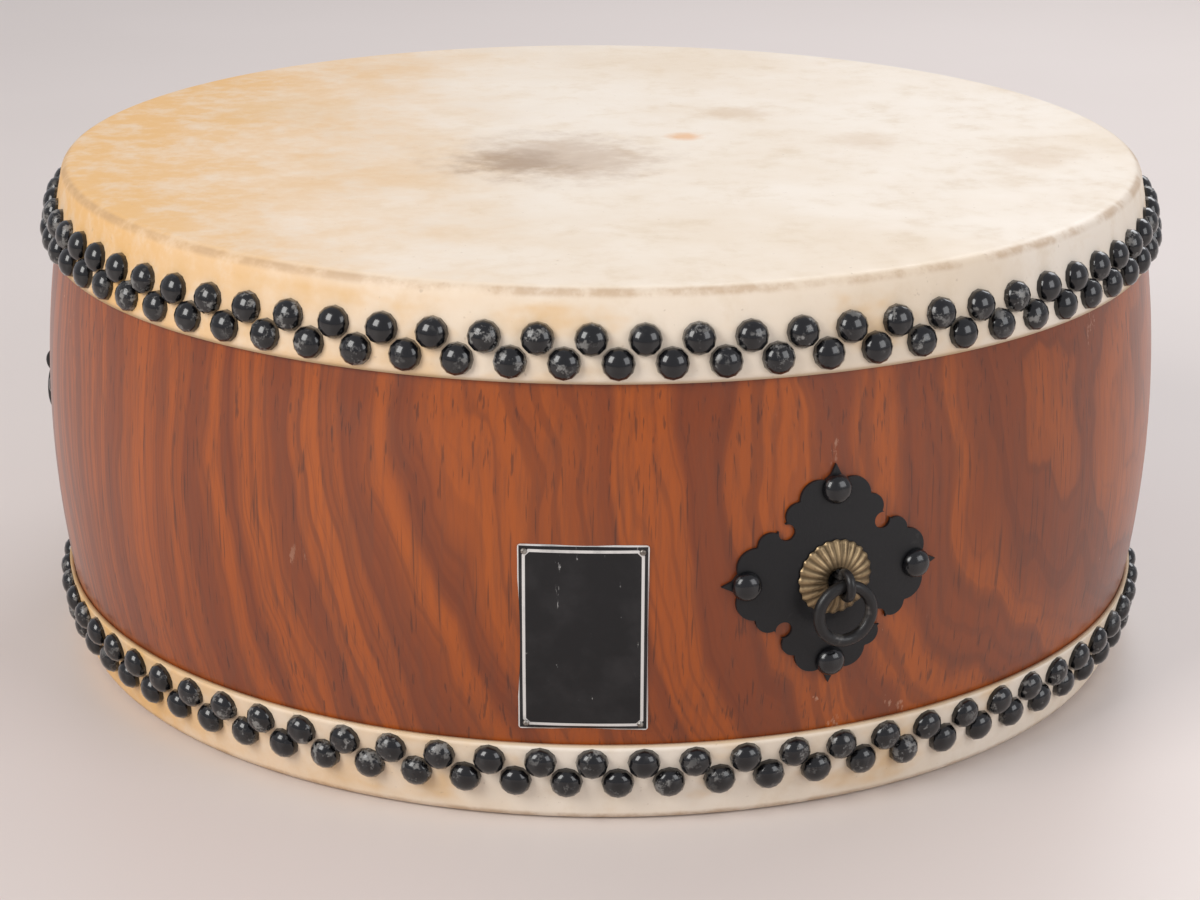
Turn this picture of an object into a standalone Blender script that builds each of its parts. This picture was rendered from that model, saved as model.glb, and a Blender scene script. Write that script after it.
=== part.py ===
"""A low, wide barrel drum of the taiko family, standing on one of its two heads.

A hollowed log body carries two hides, each held by two zigzag rows of round-headed tacks. Three iron
ring fittings stand round the belly, and a plain plate is nailed on beside the front one.
Metres, +Z up, origin at the centre of the bottom head's outer face, front ring fitting towards -Y.
An azimuth is counted from -Y towards +X, about +Z.
"""

import math

import bmesh
import bpy
from mathutils import Matrix, Vector

# Overall sizes
HEAD_RADIUS = 0.303
DRUM_HEIGHT = 0.276

# Hollowed log body
BELLY_RISE = 0.0158
BELLY_WALL = 0.030
END_WALL = 0.028
HOLLOW_TAPER_HEIGHT = 0.060
RIM_RADIUS = 0.004

# Hides and their tacks. Depths are heights below the face of the head.
SKIN_THICKNESS = 0.0022
OUTER_ROW_DEPTH = 0.0237
ROW_SPACING = 0.0113
HEM_MARGIN = 0.0096
TACK_DIAMETER = 0.0167
TACK_HEIGHT = 0.0070
TACK_GAP = 0.0003
DOME_SHOULDER_SHARE = (0.80, 0.60)
TOP_TACK_AZIMUTH = math.radians(-21.9)
BOTTOM_TACK_AZIMUTH = math.radians(-19.3)

# Ring fittings
FITTING_NAMES = ("front", "right", "left")
FITTING_HEIGHT = 0.1295
PLATE_TIP = 0.0575
PLATE_THICKNESS = 0.0016
TIP_FLANK = (0.0026, 0.0522)
OUTER_LOBE_CENTRE = (0.0090, 0.0403)
OUTER_LOBE_RADIUS = 0.0098
INNER_LOBE_CENTRE = (0.0193, 0.0332)
INNER_LOBE_RADIUS = 0.0067
NOTCH_CENTRE = 0.0255
NOTCH_RADIUS = 0.00425
NAIL_DISTANCE = 0.0450
NAIL_HEAD_DIAMETER = 0.0150
NAIL_HEAD_HEIGHT = 0.0060
NAIL_SHANK_DIAMETER = 0.0035
NAIL_SHANK_LENGTH = 0.0200
NAIL_POINT_LENGTH = 0.0040
WASHER_DIAMETER = 0.0390
WASHER_HEIGHT = 0.0044
CROWN_SHARE = 0.85
WASHER_FLUTES = 24
FLUTE_DEPTH = 0.0007
EYE_STOCK = 0.0045
EYE_HOLE_DIAMETER = 0.0076
EYE_STANDOFF = 0.0148
LEG_GAP = 0.0004
LEG_LENGTH = 0.0260
PIN_CLEARANCE = 0.0010
RING_DIAMETER = 0.0340
RING_STOCK = 0.0060
RING_CLEARANCE = 0.00035

# Name plate
NAME_PLATE_AZIMUTH = math.radians(-22.5)
NAME_PLATE_HEIGHT = 0.1029
NAME_PLATE_SIZE = (0.0635, 0.0990)
NAME_PLATE_CORNER = 0.0015
NAME_PLATE_THICKNESS = 0.0008
PLATE_PIN_INSET = 0.0034
PLATE_PIN_HEAD_DIAMETER = 0.0032
PLATE_PIN_HEAD_HEIGHT = 0.0012
PLATE_PIN_SHANK_DIAMETER = 0.0014
PLATE_PIN_SHANK_LENGTH = 0.0100
PLATE_PIN_POINT_LENGTH = 0.0015

# Clearances and fineness
SEAT_GAP = 0.0003
DRILL_CLEARANCE = 0.0003
MERGE_DISTANCE = 0.00001
CUT_OVERSHOOT = 0.010
SEGMENTS_PER_FITTING = 24
SIDE_STEPS = 5
RIM_STEPS = 1
CREASE_STEPS = 2
TACK_SIDES = 5
NAIL_SIDES = 8
PLATE_PIN_SIDES = 6
DRILL_SIDES = 6
PIN_DRILL_SIDES = 8
RING_SEGMENTS = 20
RING_SIDES = 6
EYE_STEPS = 6
BEND_STEPS = 3
OUTER_LOBE_STEPS = 3
INNER_LOBE_STEPS = 3
NOTCH_STEPS = 3
CORNER_STEPS = 2

# Sizes that follow from the ones above
HALF_TURN = math.pi
FULL_TURN = 2 * math.pi
SEGMENTS = SEGMENTS_PER_FITTING * len(FITTING_NAMES)
MIDDLE = DRUM_HEIGHT / 2
BODY_HALF_HEIGHT = MIDDLE - SKIN_THICKNESS - SEAT_GAP
BODY_TOP = MIDDLE + BODY_HALF_HEIGHT
END_RADIUS = HEAD_RADIUS - SKIN_THICKNESS - SEAT_GAP
BELLY_RADIUS = END_RADIUS + BELLY_RISE
HOLLOW_RADIUS = BELLY_RADIUS - BELLY_WALL
HEM_HEIGHT = DRUM_HEIGHT - OUTER_ROW_DEPTH - ROW_SPACING - HEM_MARGIN
EYE_RADIUS = (EYE_HOLE_DIAMETER + EYE_STOCK) / 2
LEG_OFFSET = (EYE_STOCK + LEG_GAP) / 2
PIN_HOLE_RADIUS = LEG_OFFSET + EYE_STOCK / 2 + PIN_CLEARANCE
RING_RADIUS = (RING_DIAMETER - RING_STOCK) / 2
RING_DROP = (EYE_HOLE_DIAMETER - RING_STOCK) / 2 - RING_CLEARANCE
PLATE_TOP = SEAT_GAP + PLATE_THICKNESS + SEAT_GAP
NAME_PLATE_TOP = SEAT_GAP + NAME_PLATE_THICKNESS + SEAT_GAP


def clear_scene():
    for old in list(bpy.data.objects):
        bpy.data.objects.remove(old, do_unlink=True)


def new_collection(name):
    collection = bpy.data.collections.new(name)
    bpy.context.scene.collection.children.link(collection)
    return collection


def new_material(name, colour, roughness, metallic):
    material = bpy.data.materials.new(name)
    material.use_nodes = True
    shader = material.node_tree.nodes["Principled BSDF"]
    shader.inputs["Base Color"].default_value = (*colour, 1.0)
    shader.inputs["Roughness"].default_value = roughness
    shader.inputs["Metallic"].default_value = metallic
    material.diffuse_color = (*colour, 1.0)
    return material


def new_object(name, mesh, collection):
    obj = bpy.data.objects.new(name, mesh)
    collection.objects.link(obj)
    return obj


def new_helper(name, mesh):
    """An object that only cuts or joins others, so it is left out of renders."""
    obj = new_object(name, mesh, cutters)
    obj.hide_render = True
    obj.display_type = "WIRE"
    return obj


def add_boolean(obj, other, operation):
    boolean = obj.modifiers.new(operation.title(), "BOOLEAN")
    boolean.operation = operation
    boolean.solver = "EXACT"
    boolean.object = other


def solid_from(obj):
    """Replaces a helper by its evaluated mesh, which several objects can then share."""
    bpy.context.view_layer.update()
    graph = bpy.context.evaluated_depsgraph_get()
    mesh = bpy.data.meshes.new_from_object(obj.evaluated_get(graph))
    mesh.name = obj.name
    if obj.type == "CURVE":
        join_caps(mesh)
    bpy.data.objects.remove(obj, do_unlink=True)
    return mesh


def join_caps(mesh):
    """Joins the loose caps of a mesh that was a curve."""
    rebuilt = bmesh.new()
    rebuilt.from_mesh(mesh)
    bmesh.ops.remove_doubles(rebuilt, verts=rebuilt.verts, dist=MERGE_DISTANCE)
    rebuilt.to_mesh(mesh)
    rebuilt.free()


def dress(obj, material, crease=math.radians(35)):
    """Gives an object its material and smooth shading that stops at its creases."""
    if not obj.data.materials:
        obj.data.materials.append(material)
    obj.data.shade_smooth()
    if obj.type == "MESH":
        obj.data.set_sharp_from_angle(angle=crease)


def polar(centre, radius, angle):
    return (centre[0] + radius * math.cos(angle), centre[1] + radius * math.sin(angle))


def arc(centre, radius, start, end, steps):
    """Points on a circle from one angle to another, both ends included."""
    return [polar(centre, radius, start + (end - start) * i / steps) for i in range(steps + 1)]


def barrel_radius(height):
    """The wood's outer radius: a parabola, widest at mid-height."""
    return BELLY_RADIUS - BELLY_RISE * ((height - MIDDLE) / BODY_HALF_HEIGHT) ** 2


def barrel_tilt(height):
    """How far the wood's outward normal tips up at a height."""
    return math.atan(2 * BELLY_RISE * (height - MIDDLE) / BODY_HALF_HEIGHT ** 2)


def rim_start():
    """The height where the side meets the rounded rim, found by repeating the tangent condition."""
    height = BODY_TOP - RIM_RADIUS
    for _ in range(4):
        height = BODY_TOP - RIM_RADIUS * (1 - math.sin(barrel_tilt(height)))
    return height


def end_profile(offset, steps):
    """From the flat top end over the rim and down to the hem, moved out of the wood by offset."""
    height = rim_start()
    tilt = barrel_tilt(height)
    centre = polar((barrel_radius(height), height), -RIM_RADIUS, tilt)
    points = arc(centre, RIM_RADIUS + offset, HALF_TURN / 2, tilt, steps)
    points.append((barrel_radius(HEM_HEIGHT) + offset / math.cos(barrel_tilt(HEM_HEIGHT)), HEM_HEIGHT))
    return points


def side_profile(offset):
    """The bare wood from the top hem to the bottom hem, moved out by offset."""
    hem_drop = 2 * (HEM_HEIGHT - MIDDLE)
    heights = [HEM_HEIGHT - hem_drop * i / SIDE_STEPS for i in range(SIDE_STEPS + 1)]
    return [(barrel_radius(height) + offset, height) for height in heights]


def upside_down(points):
    """The same profile at the other end of the drum, still running down its outer side."""
    return [(radius, DRUM_HEIGHT - height) for radius, height in reversed(points)]


def turned(name, profile, segments, closed):
    """A helper made by turning a profile of (radius, height) points about Z."""
    mesh = bpy.data.meshes.new(name)
    edges = [(i, i + 1) for i in range(len(profile) - 1)]
    if closed:
        edges.append((len(profile) - 1, 0))
    mesh.from_pydata([(radius, 0.0, height) for radius, height in profile], edges, [])
    obj = new_helper(name, mesh)
    screw = obj.modifiers.new("Turn", "SCREW")
    screw.axis = "Z"
    screw.angle = FULL_TURN
    screw.steps = segments
    screw.render_steps = segments
    screw.use_merge_vertices = True
    screw.merge_threshold = MERGE_DISTANCE
    return obj


def seat_frame(azimuth, tilt):
    """Axes on a surface: X across along the tangent, Y up the side, Z straight out of it."""
    outward = Vector((math.sin(azimuth), -math.cos(azimuth), 0.0)) * math.cos(tilt)
    outward.z = math.sin(tilt)
    across = Vector((math.cos(azimuth), math.sin(azimuth), 0.0))
    return Matrix((across, outward.cross(across), outward)).transposed().to_4x4()


def on_wood(azimuth, height, level=False):
    """The seat frame on the wood's outer surface, square to it or level with the floor."""
    tilt = 0.0 if level else barrel_tilt(height)
    frame = seat_frame(azimuth, tilt)
    radius = barrel_radius(height)
    frame.translation = (radius * math.sin(azimuth), -radius * math.cos(azimuth), height)
    return frame


def beside(azimuth, height, across, up):
    """The seat frame at a distance across and up from a place on the wood, measured along the wood."""
    return on_wood(azimuth + across / barrel_radius(height), height + up)


def outline_prism(name, outline, depth):
    """A flat outline in the XY plane, given a thickness both ways along Z."""
    curve = bpy.data.curves.new(name, "CURVE")
    curve.dimensions = "2D"
    curve.fill_mode = "BOTH"
    curve.extrude = depth
    spline = curve.splines.new("POLY")
    spline.points.add(len(outline) - 1)
    for point, (x, y) in zip(spline.points, outline):
        point.co = (x, y, 0.0, 1.0)
    spline.use_cyclic_u = True
    return solid_from(new_helper(name, curve))


def conforming_plate(name, outline, frame, thickness):
    """A sheet that follows the wood: a turned layer, trimmed by an outline and then drilled."""
    inner = side_profile(SEAT_GAP)
    outer = side_profile(SEAT_GAP + thickness)
    sheet = turned(name, outer + inner[::-1], SEGMENTS, True)
    trimmer = new_helper(name + " outline", outline_prism(name + " outline", outline, CUT_OVERSHOOT))
    trimmer.matrix_world = frame
    add_boolean(sheet, trimmer, "INTERSECT")
    add_boolean(sheet, drills, "DIFFERENCE")
    return solid_from(sheet)


def body_profile():
    """The hollowed log in section: outside from top to bottom, then back up the hollow."""
    top_end = end_profile(0.0, RIM_STEPS)
    outside = top_end[:-1] + side_profile(0.0) + upside_down(top_end)[1:]
    taper_top = BODY_TOP - HOLLOW_TAPER_HEIGHT
    hollow_top = [(HOLLOW_RADIUS, taper_top), (END_RADIUS - END_WALL, BODY_TOP)]
    return outside + upside_down(hollow_top) + hollow_top


def head_profile():
    """One hide in section: over the top of the rim and down to its hem, then back up inside."""
    outer = end_profile(SEAT_GAP + SKIN_THICKNESS, CREASE_STEPS)
    inner = end_profile(SEAT_GAP, RIM_STEPS)
    return [(0.0, outer[0][1])] + outer + inner[::-1] + [(0.0, inner[0][1])]


def tack_count():
    """Tacks in a row, as many as fit when neighbours in the zigzag all but touch."""
    reach = TACK_DIAMETER + TACK_GAP
    half_pitch = math.sqrt(max(reach ** 2 - ROW_SPACING ** 2, (reach / 2) ** 2))
    row_radius = barrel_radius(DRUM_HEIGHT - OUTER_ROW_DEPTH) + SEAT_GAP + SKIN_THICKNESS
    return math.floor(HALF_TURN * row_radius / half_pitch)


def dome_profile(radius, height, sink):
    """Half a section of a domed head, its last stretch carried on below the surface by sink."""
    shoulder = (radius * DOME_SHOULDER_SHARE[0], height * DOME_SHOULDER_SHARE[1])
    spread = (radius - shoulder[0]) * sink / shoulder[1]
    return [(0.0, height), shoulder, (radius + spread, -sink)]


def tack_rows(name, end, count):
    """All the tack heads of one hide, sunk a little into it: end is 1 at the top and -1 at the bottom."""
    upper, lower = end_profile(SEAT_GAP + SKIN_THICKNESS, CREASE_STEPS)[-2:]
    sink = SKIN_THICKNESS / 2
    profile = dome_profile(TACK_DIAMETER / 2, TACK_HEIGHT, sink) + [(0.0, -sink)]
    dome = solid_from(turned(name + " dome", profile, TACK_SIDES, False))
    tilt = math.atan2(lower[0] - upper[0], upper[1] - lower[1])
    rows = bmesh.new()
    for row in range(2):
        height = DRUM_HEIGHT - OUTER_ROW_DEPTH - row * ROW_SPACING
        share = (upper[1] - height) / (upper[1] - lower[1])
        radius = upper[0] + (lower[0] - upper[0]) * share
        if end < 0:
            height = DRUM_HEIGHT - height
        for i in range(count):
            azimuth = (i + row / 2) * FULL_TURN / count
            frame = seat_frame(azimuth, end * tilt)
            frame.translation = (radius * math.sin(azimuth), -radius * math.cos(azimuth), height)
            before = len(rows.verts)
            rows.from_mesh(dome)
            rows.verts.ensure_lookup_table()
            bmesh.ops.transform(rows, matrix=frame, verts=rows.verts[before:])
    mesh = bpy.data.meshes.new(name)
    rows.to_mesh(mesh)
    rows.free()
    return new_helper(name, mesh)


def build_head(name, end, azimuth):
    """A hide with its tack heads. Its facets are drawn round the wood, and the tacks sit on them."""
    count = tack_count()
    profile = head_profile()
    if end < 0:
        profile = upside_down(profile)
    around = 1 / math.cos(HALF_TURN / count)
    hide = turned(name, [(radius * around, height) for radius, height in profile], count, False)
    hide.data.materials.append(skin_material)
    hide.data.materials.append(tack_material)
    tacks = tack_rows(name + " tacks", end, count)
    tacks.data.materials.append(skin_material)
    tacks.data.materials.append(tack_material)
    for polygon in tacks.data.polygons:
        polygon.material_index = 1
    # The turned hide has an edge at azimuth 90 degrees, and the tacks of the outer row stand between edges.
    tacks.matrix_world = Matrix.Rotation(HALF_TURN / 2 + HALF_TURN / count, 4, "Z")
    add_boolean(hide, tacks, "UNION")
    obj = new_object(name, solid_from(hide), parts)
    bpy.data.objects.remove(tacks, do_unlink=True)
    obj.rotation_euler.z = azimuth - HALF_TURN / 2 - HALF_TURN / count
    dress(obj, skin_material)


def fitting_azimuth(index):
    """The fittings stand evenly round the drum: front, then right, then left."""
    return index * FULL_TURN / len(FITTING_NAMES)


def nail_places():
    """Where a ring plate's nails stand, as name, across and up."""
    return (
        ("top", 0.0, NAIL_DISTANCE),
        ("bottom", 0.0, -NAIL_DISTANCE),
        ("left", -NAIL_DISTANCE, 0.0),
        ("right", NAIL_DISTANCE, 0.0),
    )


def plate_pin_places():
    """Where the name plate's pins stand, as name, across and up."""
    across = NAME_PLATE_SIZE[0] / 2 - PLATE_PIN_INSET
    up = NAME_PLATE_SIZE[1] / 2 - PLATE_PIN_INSET
    return (
        ("top_left", -across, up),
        ("top_right", across, up),
        ("bottom_left", -across, -up),
        ("bottom_right", across, -up),
    )


def drill(holes, frame, radius, inward, outward, sides):
    """Adds a drill to a mesh, along the frame's Z from inward below its origin to outward above it."""
    place = frame @ Matrix.Translation((0.0, 0.0, (outward - inward) / 2))
    bmesh.ops.create_cone(
        holes,
        cap_ends=True,
        segments=sides,
        radius1=radius,
        radius2=radius,
        depth=outward + inward,
        matrix=place,
    )


def build_drills():
    """One helper with the hole of every nail and of every split pin."""
    holes = bmesh.new()
    nail_hole = NAIL_SHANK_DIAMETER / 2 + DRILL_CLEARANCE
    pin_hole = PLATE_PIN_SHANK_DIAMETER / 2 + DRILL_CLEARANCE
    for index in range(len(FITTING_NAMES)):
        azimuth = fitting_azimuth(index)
        centre = on_wood(azimuth, FITTING_HEIGHT, level=True)
        through = BELLY_WALL + CUT_OVERSHOOT
        drill(holes, centre, PIN_HOLE_RADIUS, through, CUT_OVERSHOOT, PIN_DRILL_SIDES)
        for _, across, up in nail_places():
            frame = beside(azimuth, FITTING_HEIGHT, across, up)
            depth = NAIL_SHANK_LENGTH + DRILL_CLEARANCE - PLATE_TOP
            drill(holes, frame, nail_hole, depth, CUT_OVERSHOOT, DRILL_SIDES)
    for _, across, up in plate_pin_places():
        frame = beside(NAME_PLATE_AZIMUTH, NAME_PLATE_HEIGHT, across, up)
        depth = PLATE_PIN_SHANK_LENGTH + DRILL_CLEARANCE - NAME_PLATE_TOP
        drill(holes, frame, pin_hole, depth, CUT_OVERSHOOT, DRILL_SIDES)
    mesh = bpy.data.meshes.new("drills")
    holes.to_mesh(mesh)
    holes.free()
    return new_helper("drills", mesh)


def build_body():
    log = turned("body", body_profile(), SEGMENTS, True)
    add_boolean(log, drills, "DIFFERENCE")
    dress(new_object("body", solid_from(log), parts), wood_material)


def plate_corner():
    """A ring plate's edge from its top tip to the diagonal, as (across, up) points."""
    outer_lobe = arc(OUTER_LOBE_CENTRE, OUTER_LOBE_RADIUS, math.radians(108), 0.0, OUTER_LOBE_STEPS)
    inner_lobe = arc(
        INNER_LOBE_CENTRE, INNER_LOBE_RADIUS, math.radians(88), math.radians(-24), INNER_LOBE_STEPS
    )
    notch_centre = (NOTCH_CENTRE, NOTCH_CENTRE)
    notch = arc(notch_centre, NOTCH_RADIUS, math.radians(78), math.radians(225), NOTCH_STEPS)
    return [(0.0, PLATE_TIP), TIP_FLANK] + outer_lobe + inner_lobe + notch


def plate_outline():
    """The whole edge: the corner mirrored in the diagonal, then turned to the four sides."""
    corner = plate_corner()
    quarter = corner[:-1] + [(up, across) for across, up in reversed(corner)][:-1]
    outline = []
    for turn in range(4):
        angle = -turn * HALF_TURN / 2
        cosine = round(math.cos(angle))
        sine = round(math.sin(angle))
        outline += [(x * cosine - y * sine, x * sine + y * cosine) for x, y in quarter]
    return outline


def name_plate_outline():
    """A rectangle with small round corners, as (across, up) points."""
    across = NAME_PLATE_SIZE[0] / 2 - NAME_PLATE_CORNER
    up = NAME_PLATE_SIZE[1] / 2 - NAME_PLATE_CORNER
    outline = []
    for turn, centre in enumerate(((across, up), (-across, up), (-across, -up), (across, -up))):
        start = turn * HALF_TURN / 2
        outline += arc(centre, NAME_PLATE_CORNER, start, start + HALF_TURN / 2, CORNER_STEPS)
    return outline


def nail_mesh(name, head_diameter, head_height, shank_diameter, shank_length, point_length, sides):
    """A domed nail along Z, its head resting on the XY plane and its shank pointing down."""
    shank = shank_diameter / 2
    head = dome_profile(head_diameter / 2, head_height, 0.0)
    shaft = [(shank, 0.0), (shank, point_length - shank_length), (0.0, -shank_length)]
    return solid_from(turned(name, head + shaft, sides, False))


def washer_mesh():
    """A fluted brass rose: a low dome with a hole, whose every second spoke is drawn in and down."""
    rim = WASHER_DIAMETER / 2
    crown = (PIN_HOLE_RADIUS + rim) / 2
    profile = [
        (PIN_HOLE_RADIUS, WASHER_HEIGHT),
        (crown, WASHER_HEIGHT * CROWN_SHARE),
        (rim, 0.0),
        (PIN_HOLE_RADIUS, 0.0),
    ]
    spokes = 2 * WASHER_FLUTES
    mesh = solid_from(turned("washer", profile, spokes, True))
    for vertex in mesh.vertices:
        radius = vertex.co.xy.length
        spoke = round(math.atan2(vertex.co.y, vertex.co.x) * spokes / FULL_TURN)
        if spoke % 2 and radius > PIN_HOLE_RADIUS + MERGE_DISTANCE:
            vertex.co.xy *= 1 - FLUTE_DEPTH / radius
            vertex.co.z *= 1 - FLUTE_DEPTH / WASHER_HEIGHT
    return mesh


def eye_pin_path():
    """The split pin's centre line as (up, out): up the inside wall, out through the hole, round the eye, back."""
    eye_centre = (EYE_STANDOFF, 0.0)
    neck = HALF_TURN - math.asin(LEG_OFFSET / EYE_RADIUS)
    eye = arc(eye_centre, EYE_RADIUS, neck, 0.0, EYE_STEPS)
    reach = BELLY_WALL + SEAT_GAP + EYE_STOCK / 2
    bend_centre = (EYE_STOCK - reach, LEG_OFFSET + EYE_STOCK)
    bend = arc(bend_centre, EYE_STOCK, -HALF_TURN, -HALF_TURN / 2, BEND_STEPS)
    half = [(bend[0][0], LEG_OFFSET + LEG_LENGTH)] + bend + eye
    upper = [(up, out) for out, up in half]
    return upper + [(-up, out) for up, out in reversed(upper[:-1])]


def eye_pin_mesh():
    """One bar bent double, with the eye outside and two legs clenched against the inside of the wall."""
    curve = bpy.data.curves.new("eye pin", "CURVE")
    curve.dimensions = "3D"
    curve.bevel_depth = EYE_STOCK / 2
    curve.bevel_resolution = 1
    curve.use_fill_caps = True
    path = eye_pin_path()
    spline = curve.splines.new("POLY")
    spline.points.add(len(path) - 1)
    for point, (up, out) in zip(spline.points, path):
        point.co = (0.0, up, out, 1.0)
    return solid_from(new_helper("eye pin", curve))


def build_fittings():
    """The pieces of one ring fitting are made once, at the front, and stand at each azimuth."""
    front = on_wood(0.0, FITTING_HEIGHT)
    plate = conforming_plate("ring plate", plate_outline(), front, PLATE_THICKNESS)
    nail = nail_mesh(
        "ring plate nail",
        NAIL_HEAD_DIAMETER,
        NAIL_HEAD_HEIGHT,
        NAIL_SHANK_DIAMETER,
        NAIL_SHANK_LENGTH,
        NAIL_POINT_LENGTH,
        NAIL_SIDES,
    )
    washer = washer_mesh()
    eye_pin = eye_pin_mesh()
    on_plate = Matrix.Translation((0.0, 0.0, PLATE_TOP))
    level_front = on_wood(0.0, FITTING_HEIGHT, level=True)
    hinge = level_front @ Vector((0.0, -RING_DROP, EYE_STANDOFF))
    for index, side in enumerate(FITTING_NAMES):
        azimuth = fitting_azimuth(index)
        turn = Matrix.Rotation(azimuth, 4, "Z")
        obj = new_object(side + "_ring_plate", plate, parts)
        obj.matrix_world = turn
        dress(obj, iron_material)
        for place, across, up in nail_places():
            obj = new_object(side + "_plate_nail_" + place, nail, parts)
            obj.matrix_world = beside(azimuth, FITTING_HEIGHT, across, up) @ on_plate
            dress(obj, iron_material)
        obj = new_object(side + "_washer", washer, parts)
        obj.matrix_world = turn @ front @ on_plate
        dress(obj, brass_material)
        obj = new_object(side + "_eye_pin", eye_pin, parts)
        obj.matrix_world = turn @ level_front
        dress(obj, iron_material)
        bpy.ops.mesh.primitive_torus_add(
            major_segments=RING_SEGMENTS,
            minor_segments=RING_SIDES,
            major_radius=RING_RADIUS,
            minor_radius=RING_STOCK / 2,
        )
        ring = bpy.context.object
        ring.name = side + "_ring"
        for holder in ring.users_collection:
            holder.objects.unlink(ring)
        parts.objects.link(ring)
        # The torus is stood up and hung below its own origin, which lies on the hinge in the eye.
        hang = Matrix.Translation((0.0, 0.0, -RING_RADIUS)) @ Matrix.Rotation(HALF_TURN / 2, 4, "X")
        ring.data.transform(hang)
        ring.matrix_world = turn @ Matrix.Translation(hinge)
        dress(ring, iron_material)


def build_name_plate():
    frame = on_wood(NAME_PLATE_AZIMUTH, NAME_PLATE_HEIGHT)
    plate = conforming_plate("name_plate", name_plate_outline(), frame, NAME_PLATE_THICKNESS)
    dress(new_object("name_plate", plate, parts), name_plate_material)
    pin = nail_mesh(
        "name plate pin",
        PLATE_PIN_HEAD_DIAMETER,
        PLATE_PIN_HEAD_HEIGHT,
        PLATE_PIN_SHANK_DIAMETER,
        PLATE_PIN_SHANK_LENGTH,
        PLATE_PIN_POINT_LENGTH,
        PLATE_PIN_SIDES,
    )
    on_plate = Matrix.Translation((0.0, 0.0, NAME_PLATE_TOP))
    for place, across, up in plate_pin_places():
        obj = new_object("name_plate_pin_" + place, pin, parts)
        obj.matrix_world = beside(NAME_PLATE_AZIMUTH, NAME_PLATE_HEIGHT, across, up) @ on_plate
        dress(obj, steel_material)


clear_scene()
parts = new_collection("barrel drum")
cutters = new_collection("cutters")
wood_material = new_material("lacquered zelkova", (0.34, 0.10, 0.025), 0.35, 0.0)
skin_material = new_material("cow hide", (0.80, 0.66, 0.48), 0.60, 0.0)
tack_material = new_material("black tack iron", (0.02, 0.02, 0.025), 0.25, 0.6)
iron_material = new_material("black forged iron", (0.03, 0.03, 0.033), 0.45, 0.8)
brass_material = new_material("old brass", (0.42, 0.29, 0.14), 0.35, 1.0)
name_plate_material = new_material("black enamelled plate", (0.015, 0.015, 0.017), 0.35, 0.2)
steel_material = new_material("dull steel", (0.45, 0.44, 0.42), 0.40, 1.0)

drills = build_drills()
build_body()
build_head("top_head", 1, TOP_TACK_AZIMUTH)
build_head("bottom_head", -1, BOTTOM_TACK_AZIMUTH)
build_fittings()
build_name_plate()
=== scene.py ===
"""A hira-daiko: a low barrel drum standing on one head, with tacked hides and swinging ring fittings.

Metres, +Z up, origin at the middle of the bottom face, front fitting at -Y. An azimuth is counted from
-Y towards +X, so a point at radius r, azimuth a and height z is (r sin a, -r cos a, z). Every piece is a
parametric surface made as whole numpy arrays, and every material is procedural.
"""

import math

import bpy
import numpy as np
from mathutils import Matrix, Vector
from mathutils.geometry import delaunay_2d_cdt


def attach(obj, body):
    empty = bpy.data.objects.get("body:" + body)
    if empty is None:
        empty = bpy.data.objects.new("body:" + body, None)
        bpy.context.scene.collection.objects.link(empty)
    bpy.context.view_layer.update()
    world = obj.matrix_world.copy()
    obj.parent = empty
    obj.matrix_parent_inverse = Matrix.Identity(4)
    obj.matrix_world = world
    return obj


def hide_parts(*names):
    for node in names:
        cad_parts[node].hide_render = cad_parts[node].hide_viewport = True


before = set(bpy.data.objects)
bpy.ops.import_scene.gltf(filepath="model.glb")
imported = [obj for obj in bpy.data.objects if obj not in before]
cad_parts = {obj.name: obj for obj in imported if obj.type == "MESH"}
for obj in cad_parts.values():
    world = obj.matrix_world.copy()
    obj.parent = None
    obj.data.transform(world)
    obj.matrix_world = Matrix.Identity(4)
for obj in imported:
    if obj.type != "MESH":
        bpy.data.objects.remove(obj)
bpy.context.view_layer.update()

TURN = 2 * math.pi
QUARTER = TURN / 4
SIDES = {"front": 0.0, "right": TURN / 3, "left": -TURN / 3}

# Log: the side's parabola, its rounded rims, and the hollow with its mouth as (radius, height)
HEIGHT = 0.276
MIDDLE = HEIGHT / 2
HALF_LOG = 0.1355
LOG_TOP = MIDDLE + HALF_LOG
BELLY_RADIUS = 0.3163
BELLY_RISE = 0.0158
RIM_RADIUS = 0.0040
SIDE_TOP = HEIGHT - 0.0062
BELLY_WALL = 0.030
WALL_LOSS = 0.002
HOLLOW_TOP = 0.262
HOLLOW_MOUTH = ((0.2900, LOG_TOP), (0.2735, LOG_TOP), (0.2725, 0.2725))
DRUM_SIDES = 288

# Hides and tacks
HEAD_RADIUS = 0.303
SKIN = 0.0022
GAP = 0.0003
HEM = 0.2314
HEM_MIDDLE = 0.55
SKIRT_START = 0.0002
UNDERSIDE_RADIUS = 0.15
TACK_ROWS = (0.2523, 0.2410)
TACKS_PER_ROW = 76
TACK_RADIUS = 0.00835
TACK_HEIGHT = 0.0070
TACK_SINK = 0.0008
TACK_SIDES = 12
TACK_RINGS = 4
TACK_CROWN = 0.32
TACK_FULLNESS = 0.9
TOP_TACK_AZIMUTH = math.radians(-21.9)
BOTTOM_TACK_AZIMUTH = math.radians(-19.3)

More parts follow.
